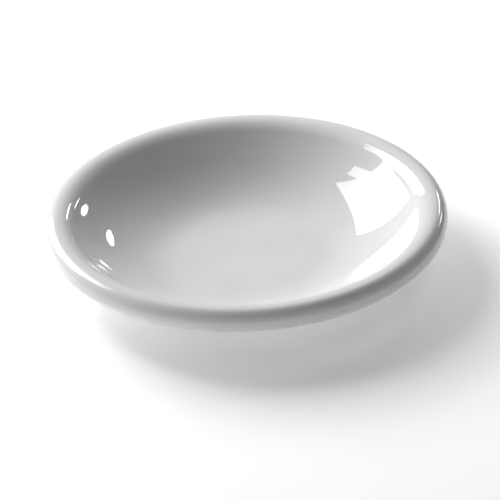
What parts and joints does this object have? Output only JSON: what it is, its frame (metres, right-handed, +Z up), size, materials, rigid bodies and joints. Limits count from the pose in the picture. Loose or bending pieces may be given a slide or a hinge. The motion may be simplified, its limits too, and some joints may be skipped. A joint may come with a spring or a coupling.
{
  "type": "shallow bowl",
  "caption": "Shallow round white porcelain bowl with a flat well, one sweeping wall, a fat rim rolled outwards and down, and a low foot ring.",
  "frame": {"origin": "on the table, under the middle of the bowl", "axes": "+Z up along the bowl's turning axis; it looks the same from every side"},
  "size_m": [0.27, 0.27, 0.041],
  "materials": {
    "fired_clay": "bare fired porcelain, matte, fine grained",
    "clear_glaze": "clear feldspar glaze over white clay, high gloss",
    "recess_glaze": "the same glaze inside the foot ring, a little thinner"
  },
  "bodies": {
    "root": {"porcelain_body": "fired_clay", "glaze_coat": "clear_glaze", "foot_recess_glaze": "recess_glaze"}
  },
  "joints": []
}
